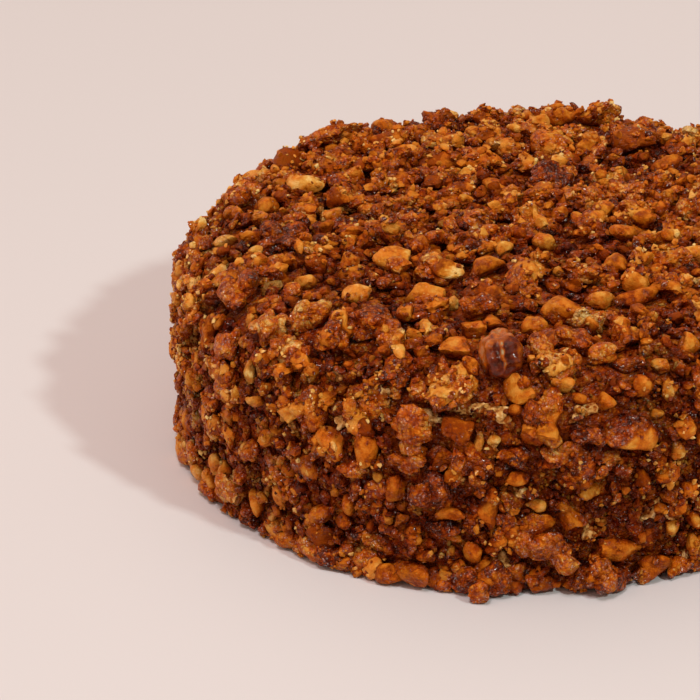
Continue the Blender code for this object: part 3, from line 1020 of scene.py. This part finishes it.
# across and down in the picture, length, width, thickness, turn in the picture, tone, crispness
SEEN_NUTS = (
    (423, 293, 0.0112, 0.0060, 0.0056, -16, 0.66, 4),
    (458, 348, 0.0096, 0.0076, 0.0042, -10, 0.50, 12),
    (473, 331, 0.0062, 0.0046, 0.0040, 10, 0.50, 12),
    (457, 432, 0.0084, 0.0070, 0.0052, -8, 0.06, 16),
    (366, 449, 0.0064, 0.0112, 0.0056, 4, 0.40, 8),
    (393, 489, 0.0062, 0.0080, 0.0054, 5, 0.46, 5),
    (392, 258, 0.0108, 0.0082, 0.0066, 12, 0.66, 4),
    (213, 218, 0.0076, 0.0042, 0.0040, -8, 0.86, 5),
    (232, 215, 0.0044, 0.0044, 0.0036, 0, 0.45, 6),
    (267, 207, 0.0074, 0.0060, 0.0046, 20, 0.50, 7),
    (324, 217, 0.0030, 0.0058, 0.0034, -12, 0.90, 8),
    (192, 262, 0.0034, 0.0066, 0.0034, -8, 0.72, 5),
    (214, 274, 0.0046, 0.0078, 0.0040, -28, 0.80, 6),
    (256, 251, 0.0046, 0.0040, 0.0040, 20, 0.78, 9),
    (545, 242, 0.0066, 0.0056, 0.0050, 6, 0.66, 4),
    (504, 247, 0.0056, 0.0050, 0.0044, 20, 0.74, 5),
    (485, 267, 0.0124, 0.0062, 0.0054, 46, 0.34, 7),
    (453, 301, 0.0042, 0.0052, 0.0036, -10, 0.95, 8),
    (383, 274, 0.0032, 0.0032, 0.0030, 0, 0.95, 6),
    (534, 328, 0.0074, 0.0058, 0.0048, -8, 0.50, 7),
    (562, 311, 0.0112, 0.0090, 0.0066, 18, 0.48, 6),
    (601, 302, 0.0082, 0.0050, 0.0044, 22, 0.70, 9),
    (638, 300, 0.0126, 0.0058, 0.0052, 24, 0.24, 7),
    (625, 236, 0.0078, 0.0070, 0.0060, 0, 0.52, 4),
    (613, 267, 0.0072, 0.0080, 0.0060, 0, 0.34, 4),
    (598, 253, 0.0046, 0.0032, 0.0032, 42, 0.90, 6),
    (693, 260, 0.0086, 0.0060, 0.0050, 14, 0.72, 5),
    (667, 168, 0.0112, 0.0062, 0.0050, 24, 0.30, 6),
    (622, 171, 0.0040, 0.0052, 0.0040, 10, 0.70, 4),
    (536, 191, 0.0044, 0.0044, 0.0042, 0, 0.40, 4),
    (581, 222, 0.0062, 0.0062, 0.0050, 0, 0.40, 5),
    (187, 331, 0.0032, 0.0112, 0.0036, 4, 0.24, 6),
    (208, 334, 0.0044, 0.0108, 0.0042, -14, 0.14, 5),
    (303, 281, 0.0060, 0.0040, 0.0040, 8, 0.72, 7),
    (356, 291, 0.0090, 0.0074, 0.0056, 24, 0.74, 5),
    (214, 370, 0.0066, 0.0050, 0.0040, -48, 0.56, 7),
    (252, 373, 0.0038, 0.0068, 0.0040, -6, 0.86, 5),
    (257, 401, 0.0052, 0.0040, 0.0040, -18, 0.70, 6),
    (227, 396, 0.0034, 0.0026, 0.0026, -10, 0.90, 6),
    (286, 415, 0.0022, 0.0032, 0.0026, 0, 0.90, 7),
    (281, 496, 0.0044, 0.0080, 0.0040, 24, 0.56, 7),
    (253, 503, 0.0058, 0.0074, 0.0044, 30, 0.50, 7),
    (323, 541, 0.0056, 0.0082, 0.0040, 16, 0.72, 6),
    (319, 556, 0.0100, 0.0120, 0.0066, 0, 0.00, 4),
    (292, 536, 0.0038, 0.0066, 0.0036, 8, 0.10, 14),
    (344, 522, 0.0052, 0.0048, 0.0042, 0, 0.34, 4),
    (350, 504, 0.0034, 0.0060, 0.0038, 16, 0.52, 5),
    (379, 476, 0.0026, 0.0028, 0.0028, 0, 0.80, 3),
    (402, 520, 0.0032, 0.0046, 0.0034, -16, 0.58, 5),
    (451, 511, 0.0078, 0.0036, 0.0040, 6, 0.44, 7),
    (455, 535, 0.0046, 0.0036, 0.0036, -8, 0.50, 6),
    (473, 552, 0.0052, 0.0062, 0.0046, 10, 0.54, 4),
    (445, 571, 0.0044, 0.0036, 0.0036, -12, 0.78, 12),
    (484, 566, 0.0056, 0.0062, 0.0050, 0, 0.40, 4),
    (488, 509, 0.0058, 0.0106, 0.0052, -6, 0.22, 5),
    (544, 523, 0.0058, 0.0050, 0.0042, -30, 0.44, 4),
    (571, 521, 0.0078, 0.0062, 0.0050, -38, 0.42, 9),
    (537, 507, 0.0048, 0.0034, 0.0034, 6, 0.80, 8),
    (518, 478, 0.0064, 0.0036, 0.0042, -6, 0.34, 6),
    (620, 553, 0.0120, 0.0066, 0.0056, -12, 0.40, 6),
    (655, 565, 0.0100, 0.0072, 0.0054, 18, 0.26, 6),
    (671, 528, 0.0034, 0.0048, 0.0036, -10, 0.66, 6),
    (643, 478, 0.0042, 0.0062, 0.0040, 10, 0.14, 10),
    (597, 471, 0.0044, 0.0038, 0.0036, -14, 0.62, 5),
    (677, 448, 0.0034, 0.0050, 0.0034, 14, 0.76, 6),
    (661, 366, 0.0058, 0.0040, 0.0040, 14, 0.72, 6),
    (658, 414, 0.0034, 0.0026, 0.0028, -12, 0.70, 10),
    (605, 400, 0.0054, 0.0044, 0.0040, 8, 0.62, 5),
    (563, 385, 0.0060, 0.0040, 0.0040, -10, 0.74, 6),
    (579, 399, 0.0038, 0.0034, 0.0034, 0, 0.46, 7),
    (689, 342, 0.0052, 0.0074, 0.0050, 6, 0.62, 6),
    (479, 443, 0.0028, 0.0060, 0.0034, -8, 0.92, 6),
    (494, 441, 0.0034, 0.0036, 0.0036, 0, 0.96, 7),
    (516, 411, 0.0040, 0.0034, 0.0034, -10, 0.30, 10),
    (547, 594, 0.0042, 0.0026, 0.0030, -4, 0.60, 8),
    (196, 470, 0.0052, 0.0078, 0.0040, -24, 0.66, 6),
    (210, 480, 0.0058, 0.0064, 0.0042, 30, 0.58, 8),
    (223, 470, 0.0050, 0.0060, 0.0040, -10, 0.52, 7),
    (236, 492, 0.0066, 0.0052, 0.0042, 14, 0.60, 8),
    (494, 324, 0.0062, 0.0060, 0.0046, 10, 0.36, 8),
)
# the same for lumps, with the count of pieces stuck together in place of the crispness
SEEN_LUMPS = (
    (229, 346, 0.0092, 0.0092, 0.0062, 0, 0.26, 3),
    (268, 326, 0.0112, 0.0124, 0.0084, 0, 0.56, 8),
    (240, 291, 0.0126, 0.0130, 0.0086, 0, 0.24, 9),
    (312, 312, 0.0124, 0.0080, 0.0074, 20, 0.48, 9),
    (288, 292, 0.0064, 0.0060, 0.0052, 20, 0.26, 5),
    (479, 305, 0.0108, 0.0108, 0.0084, 0, 0.26, 14),
    (374, 321, 0.0132, 0.0116, 0.0084, 0, 0.26, 12),
    (538, 348, 0.0080, 0.0072, 0.0064, 0, 0.40, 4),
    (574, 341, 0.0130, 0.0092, 0.0070, 0, 0.36, 10),
    (602, 355, 0.0084, 0.0058, 0.0054, 0, 0.58, 7),
    (629, 363, 0.0088, 0.0044, 0.0046, -6, 0.18, 3),
    (586, 436, 0.0086, 0.0060, 0.0050, -8, 0.24, 4),
    (412, 424, 0.0116, 0.0108, 0.0076, 0, 0.48, 8),
    (413, 446, 0.0070, 0.0068, 0.0052, 0, 0.56, 5),
    (408, 462, 0.0110, 0.0066, 0.0056, 10, 0.52, 10),
    (431, 487, 0.0098, 0.0114, 0.0074, -20, 0.10, 5),
    (355, 469, 0.0074, 0.0060, 0.0054, -30, 0.42, 6),
    (444, 527, 0.0104, 0.0042, 0.0046, 8, 0.04, 2),
    (515, 458, 0.0084, 0.0066, 0.0056, 10, 0.20, 4),
    (555, 458, 0.0072, 0.0062, 0.0052, -10, 0.46, 5),
    (553, 551, 0.0140, 0.0124, 0.0084, 0, 0.40, 12),
    (550, 176, 0.0140, 0.0120, 0.0088, 0, 0.06, 8),
    (249, 451, 0.0078, 0.0070, 0.0052, 0, 0.44, 5),
    (228, 489, 0.0116, 0.0100, 0.0060, 0, 0.58, 10),
    (238, 522, 0.0086, 0.0050, 0.0048, -20, 0.10, 6),
    (411, 588, 0.0100, 0.0044, 0.0046, -6, 0.44, 6),
    (205, 462, 0.0100, 0.0120, 0.0060, 10, 0.22, 6),
    (186, 472, 0.0066, 0.0024, 0.0026, 14, 0.00, 2),
)


def clear_of_seen(along, turns, sizes, share=KEPT_CLEAR):
    """Which of these places on the bed are clear of the pieces that catch the eye."""
    spots = bed_place(along, turns)[0]
    far = np.linalg.norm(spots[:, None] - seen_spots[None], axis=-1)
    return (far > share * (sizes[:, None] + seen_sizes[None]) / 2).all(1)


def clear_places(*places):
    """Those of these places that are clear, as their ways along, bearings and sizes."""
    along, turns, sizes = np.vstack(places).T
    free = clear_of_seen(along, turns, sizes)
    return along[free], turns[free], sizes[free]


large_places = [(along, bearing, max(size)) for bearing, along, size, *_ in LARGE_PIECES.values()]
along, bearings, sizes = np.array(large_places).T
large_spots = bed_place(along, np.radians(bearings))[0]
seen_spots = np.vstack([large_spots, cream_spots])
seen_sizes = np.append(LARGE_KEEPS * sizes, CREAM_KEEPS * cream_widths)

seen_ways, seen_triangles = ball(SEEN_POINTS)
across, down, length, width, thick, spins, tones, crisps = np.array(SEEN_NUTS).T
draw = np.random.default_rng(SEED + 5)
shapes = [
    chopped(1, seen_ways, SEEN_FACETS if crisp < SLAB_FROM else 0, crisp + CRISPER, draw)
    for crisp in crisps
]
shapes = sized(np.vstack(shapes), length, width, thick)
shapes = roughened(shapes, seen_ways, draw, *SEEN_NUT_ROUGH)
bares = np.where(length > LARGE_FROM, LARGE_BARE, SMALL_BARE)[:, None]
nut_seats = seats_seen(across, down, thick * SEEN_NUT_MIDDLE - BED_LOWERED)
press_on(
    "seen_nuts", "golden_nut", shapes, seen_triangles, nut_seats, thick, SEEN_NUT_SUNK,
    np.radians(spins), 0 * spins, tones[:, None], bares,
)
seen_spots = np.vstack([seen_spots, nut_seats["spots"]])
seen_sizes = np.append(seen_sizes, length)

across, down, length, width, thick, spins, tones, parts = np.array(SEEN_LUMPS).T
shapes = []
part_tones = []
for count, tone in zip(parts.astype(int), tones):
    shape, which = clumped(1, seen_ways, count, draw)
    shapes.append(shape)
    tone = LUMP_PALER + LUMP_CONTRAST * tone
    part_tones.append(tone + draw.normal(0, LUMP_TONE_SPREAD, count)[which])
shapes = sized(np.vstack(shapes), length, width, thick)
shapes = roughened(shapes, seen_ways, draw, *SEEN_LUMP_ROUGH)
lump_seats = seats_seen(across, down, thick * SEEN_LUMP_MIDDLE - BED_LOWERED)
press_on(
    "seen_lumps", "praline", shapes, seen_triangles, lump_seats, thick, SEEN_LUMP_SUNK,
    np.radians(spins), 0 * spins, np.vstack(part_tones), 0.0, reach=FOOT_REACH,
)
seen_spots = np.vstack([seen_spots, lump_seats["spots"]])
seen_sizes = np.append(seen_sizes, length)


# ------------------------------------------------------------------------- the clusters
# Crumbs of nut stuck together by caramel into rough lumps, 8 to 16 mm across, which make
# more than half of the coat. The largest lie where the solids have them.
CLUSTER_POINTS = 420
CLUSTER_PARTS = 15
COAT_CLUSTER_ROUGH = (0.0012, 0.0050, 0.0011, 0.0022)
CLUSTER_THICK = (0.46, 0.64)
CLUSTER_WIDE = (0.74, 0.98)
COAT_SUNK = (0.16, 0.36)
CLUSTER_LEAN = 0.25
CLUSTER_TONE = (0.48, 0.13)
PART_TONE_SPREAD = 0.12
PART_BARE_SHARE = 0.26
PART_BARE = 0.85
BARE_PALER = 0.10
# how many at most, and the largest and the smallest size
CRUMB_LUMPS = (30, 0.0165, 0.0130)
NUT_PIECES = (32, 0.0120, 0.0100)
BUMPS = (700, 0.0150, 0.0075)
# the share of nuts among the small bumps and among the large ones
BUMP_SIZES = (0.0080, 0.0130)
NUT_SHARES = (0.60, 0.20)
CLOSENESS = 0.78
TRIES = 40
LARGE_ROOM = 1.1


def coat_places(draw):
    """Even places for the praline, the largest first, clear of the large pieces: lumps, nuts
    and the rest, each as (along, bearing, size)."""
    taken = []
    sizes = []
    for bearing, along, size, *_ in LARGE_PIECES.values():
        taken.append(bed_place(np.array(along), np.radians(bearing))[0])
        sizes.append(max(size) * LARGE_ROOM)
    kinds = []
    for count, largest, smallest in (CRUMB_LUMPS, NUT_PIECES, BUMPS):
        found = []
        for i in range(count):
            size = largest + (smallest - largest) * i / count
            apart = CLOSENESS * (size + np.array(sizes)) / 2
            for _ in range(TRIES):
                along = float(np.interp(draw.random() * AREA[-1], AREA, ALONG))
                bearing = draw.uniform(-math.pi, math.pi)
                spot = bed_place(np.array(along), np.array(bearing))[0]
                if (np.linalg.norm(np.array(taken) - spot, axis=1) > apart).all():
                    taken.append(spot)
                    sizes.append(size)
                    found.append((along, bearing, size))
                    break
        kinds.append(np.array(found))
    return kinds


LUMP_PLACES, NUT_PLACES, BUMP_PLACES = coat_places(random.Random(SEED))
kind_draw = np.random.default_rng(SEED)
nut_shares = np.interp(BUMP_PLACES[:, 2], BUMP_SIZES, NUT_SHARES)
bump_is_nut = kind_draw.random(len(BUMP_PLACES)) < nut_shares

draw = np.random.default_rng(SEED + 1)
along, turns, sizes = clear_places(LUMP_PLACES, BUMP_PLACES[~bump_is_nut])
count = len(sizes)
ways, triangles = ball(CLUSTER_POINTS)
shapes, which = clumped(count, ways, CLUSTER_PARTS, draw)
shapes, thick = flattened(draw, shapes, sizes, CLUSTER_THICK, CLUSTER_WIDE)
shapes = roughened(shapes, ways, draw, *COAT_CLUSTER_ROUGH)
part_tone = draw.normal(0, PART_TONE_SPREAD, (count, CLUSTER_PARTS))
part_tone = part_tone + draw.normal(*CLUSTER_TONE, (count, 1))
part_bare = (draw.random((count, CLUSTER_PARTS)) < PART_BARE_SHARE) * PART_BARE
tones = np.take_along_axis(part_tone + BARE_PALER * part_bare, which, 1)
bares = np.take_along_axis(part_bare, which, 1)
clusters = press_on(
    "clusters", "praline", shapes, triangles, seats_on_bed(along, turns), thick,
    draw.uniform(*COAT_SUNK, count), draw.uniform(0, math.tau, count),
    draw.normal(0, CLUSTER_LEAN, count), tones, bares,
)
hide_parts("cake")


# ------------------------------------------------------------------------ the large nuts
# Halves and large pieces of blanched nut, toasted golden, with caramel in stains and beads.
NUT_FACETS = 7
NUT_SIZE = 0.90


def press_nuts(
    name, slot, draw, along, turns, sizes, points_each, crispness, thick, wide, rough, sunk,
    spins, leans, tones, bares, reach=SIDE_REACH,
):
    """Presses chopped nuts into the bed at these places, and makes them one mesh. `thick`,
    `wide` and `spins` are ranges, `leans` and `tones` a middle and a spread, and `bares` are
    what is picked from."""
    count = len(sizes)
    ways, triangles = ball(points_each)
    shapes = chopped(count, ways, NUT_FACETS, crispness, draw)
    shapes, thick = flattened(draw, shapes, sizes, thick, wide)
    shapes = roughened(shapes, ways, draw, *rough)
    press_on(
        name, slot, shapes, triangles, seats_on_bed(along, turns), thick, sunk,
        draw.uniform(*spins, count), draw.normal(*leans, count),
        draw.normal(*tones, (count, 1)), draw.choice(bares, (count, 1)), reach=reach,
    )


draw = np.random.default_rng(SEED + 2)
along, turns, sizes = clear_places(NUT_PLACES, BUMP_PLACES[bump_is_nut])
press_nuts(
    "nut_pieces", "golden_nut", draw, along, turns, sizes * NUT_SIZE, points_each=180,
    crispness=15, thick=(0.45, 0.68), wide=(0.58, 0.86), rough=(0.0011, 0.0034, 0.0004, 0.0018),
    sunk=0.12, spins=(0, math.tau), leans=(0, 0.35), tones=(0.40, 0.18),
    bares=[0.95, 0.82, 0.70, 0.55],
)


# ------------------------------------------------------------------------ the foot nuts
# Chopped nuts that were swept against the foot of the side. They touch the floor.
FOOT_NUTS = 130
FOOT_NUT_REACH = 0.1012
FOOT_NUT_SIZES = (0.0040, 0.0092)
FOOT_NUT_RAISED = 0.35
draw = np.random.default_rng(SEED + 6)
sizes = draw.uniform(*FOOT_NUT_SIZES, FOOT_NUTS)
turns = (np.arange(FOOT_NUTS) + draw.uniform(-0.5, 0.5, FOOT_NUTS)) * math.tau / FOOT_NUTS
press_nuts(
    "foot_nuts", "praline", draw, ALONG[-1] - FOOT_NUT_RAISED * sizes, turns, sizes,
    points_each=90, crispness=10, thick=(0.55, 0.80), wide=(0.62, 0.90),
    rough=(0.0012, 0.0034, 0.0006, 0.0018), sunk=-0.06, spins=(-0.5, 0.5), leans=(-0.2, 0.3),
    tones=(0.46, 0.16), bares=[0.0, 0.5, 0.85], reach=FOOT_NUT_REACH,
)


# ---------------------------------------------------------------------- the chopped nuts
# Chopped nuts of 3 to 8 mm, bare or crusted, that fill the hollows between the lumps. Each is
# dropped on to what is there, from DROP over the bed to DEEPEST under it, and FOLLOWS is how
# far it follows the slope that it lands on.
DROP = 0.03
DEEPEST = 0.006
FOLLOWS = 0.55


def lie_on(along, turns):
    """Seats for pieces dropped straight on to the coat, and how high over the bed they are."""
    floors, floor_outs = bed_place(along, turns)
    heights = np.full(len(floors), -DEEPEST)
    normals = floor_outs.copy()
    for i, (spot, out) in enumerate(zip(floors, floor_outs)):
        for tree in underfoot:
            _, way, _, far = tree.ray_cast(Vector(spot + out * DROP), Vector(-out), DROP + DEEPEST)
            if far is not None and DROP - far > heights[i]:
                heights[i] = DROP - far
                normals[i] = way
    return {
        "spots": floors + floor_outs * heights[:, None],
        "outs": unit(FOLLOWS * normals + (1 - FOLLOWS) * floor_outs),
        "aheads": sideways(turns),
        "floors": floors,
        "floor_outs": floor_outs,
    }, heights


DRIFT_WIDTH = 0.012
DRIFTS_APART = 1e5
TOP_ALONG = BED_RADIUS - EDGE_ROUND
RIM_ALONG = TOP_ALONG + 0.02
TOP_THINNER = 0.6
STREWN_TRIES = 3.2
STREWN_FROM_FOOT = 0.999
STREWN_CLEAR = 0.85
STREWN_ANYWAY = 0.02
STREWN_CLOSENESS = 0.58
STREWN_FACETS = 6
STREWN_THICK = (0.50, 0.80)
STREWN_WIDE = (0.58, 0.95)
STREWN_LEAN = 0.4
STREWN_EDGE = 32
# how much commoner the small sizes are, how many swells lie across a piece, and how far apart
# in the noise the pieces lie
SMALL_SIZES = 1.5
SWELLS_ACROSS = 1.9
PIECES_APART = 50


def scatter(draw, sizes, ceiling, patchy):
    """Seats for pieces of these sizes, the largest first: not too close to each other or to
    the pieces that catch the eye, on nothing higher over the bed than `ceiling`, and in
    drifts, which are thinner on the top, the more so the nearer `patchy` is to 1."""
    tries = int(len(sizes) * (STREWN_TRIES + patchy))
    along = np.interp(draw.random(tries) * AREA[-1] * STREWN_FROM_FOOT, AREA, ALONG)
    turns = draw.uniform(-math.pi, math.pi, tries)
    clear = clear_of_seen(along, turns, np.full(tries, sizes.mean()), STREWN_CLEAR)
    clear = clear | (draw.random(tries) < STREWN_ANYWAY)
    seats, heights = lie_on(along, turns)
    drifts = 0.5 + 1.3 * swells_at(seats["floors"], DRIFT_WIDTH, sizes.mean() * DRIFTS_APART)
    share = np.interp(along, (TOP_ALONG, RIM_ALONG), (1 - TOP_THINNER * patchy, 1.0))
    clear = clear & (draw.random(tries) < (drifts * patchy + 1 - patchy) * share)
    kept = []
    taken = np.zeros((len(sizes), 3))
    for i in range(tries):
        done = len(kept)
        if done == len(sizes):
            break
        if heights[i] > ceiling or not clear[i]:
            continue
        apart = STREWN_CLOSENESS * (sizes[done] + sizes[:done]) / 2
        if (np.linalg.norm(taken[:done] - seats["spots"][i], axis=1) < apart).any():
            continue
        taken[done] = seats["spots"][i]
        kept.append(i)
    return {key: value[kept] for key, value in seats.items()}, sizes[: len(kept)]


def strew(
    name, slot, seed, count, smallest, largest, ceiling, sunk, points_each, patchy,
    crispness, uneven, tone, spread, bare,
):
    """Strews pieces of one kind over what is there, and makes them one mesh. `uneven` is how
    far their faces swell, and `spread` goes with `tone`."""
    draw = np.random.default_rng(seed)
    sizes = smallest + (largest - smallest) * draw.random(count) ** SMALL_SIZES
    sizes = np.sort(sizes)[::-1]
    seats, sizes = scatter(draw, sizes, ceiling, patchy)
    count = len(sizes)
    ways, triangles = ball(points_each)
    shapes = chopped(count, ways, STREWN_FACETS, crispness, draw)
    flat = shapes * SWELLS_ACROSS + draw.uniform(-PIECES_APART, PIECES_APART, (count, 1, 3))
    push = uneven * swells_at(flat.reshape(-1, 3), 1.0)
    shapes = shapes + ways * push.reshape(count, -1, 1)
    shapes, thick = flattened(draw, shapes, sizes, STREWN_THICK, STREWN_WIDE)
    press_on(
        name, slot, shapes, triangles, seats, thick, sunk, draw.uniform(0, math.tau, count),
        draw.normal(0, STREWN_LEAN, count), draw.normal(tone, spread, (count, 1)), bare,
        edge=STREWN_EDGE,
    )


strew(
    "crusted_nuts", "praline", seed=32, count=1500, smallest=0.0034, largest=0.0074,
    ceiling=0.0022, sunk=0.26, points_each=48, patchy=0.0,
    crispness=9, uneven=0.26, tone=0.46, spread=0.14, bare=0.40,
)
strew(
    "chopped_nuts", "golden_nut", seed=31, count=1000, smallest=0.0034, largest=0.0070,
    ceiling=0.0036, sunk=0.30, points_each=52, patchy=0.2,
    crispness=12, uneven=0.22, tone=0.40, spread=0.20, bare=0.85,
)


# ------------------------------------------------------------------------ the small bits
# Bits of 1.5 to 4 mm, mostly paler, caught everywhere on the lumps and in the gaps.
ANYWHERE = 0.02
strew(
    "crumb_bits", "praline", seed=34, count=2500, smallest=0.0016, largest=0.0036,
    ceiling=ANYWHERE, sunk=0.34, points_each=24, patchy=0.5,
    crispness=9, uneven=0.36, tone=0.47, spread=0.16, bare=0.3,
)
strew(
    "nut_bits", "golden_nut", seed=33, count=1700, smallest=0.0014, largest=0.0036,
    ceiling=ANYWHERE, sunk=0.32, points_each=22, patchy=0.4,
    crispness=12, uneven=0.30, tone=0.48, spread=0.20, bare=0.95,
)


# ------------------------------------------------------------------------ the fine crumbs
# Crumbs of about 1 mm that the syrup holds in drifts all over the coat: dark ones of praline,
# and pale ones of bare nut.
strew(
    "fine_crumbs", "praline", seed=35, count=4800, smallest=0.0008, largest=0.0017,
    ceiling=ANYWHERE, sunk=0.28, points_each=10, patchy=1.0,
    crispness=9, uneven=0.30, tone=0.44, spread=0.16, bare=0.0,
)
strew(
    "fine_bits", "golden_nut", seed=36, count=4600, smallest=0.0008, largest=0.0017,
    ceiling=ANYWHERE, sunk=0.22, points_each=10, patchy=1.0,
    crispness=9, uneven=0.30, tone=0.76, spread=0.18, bare=1.0,
)
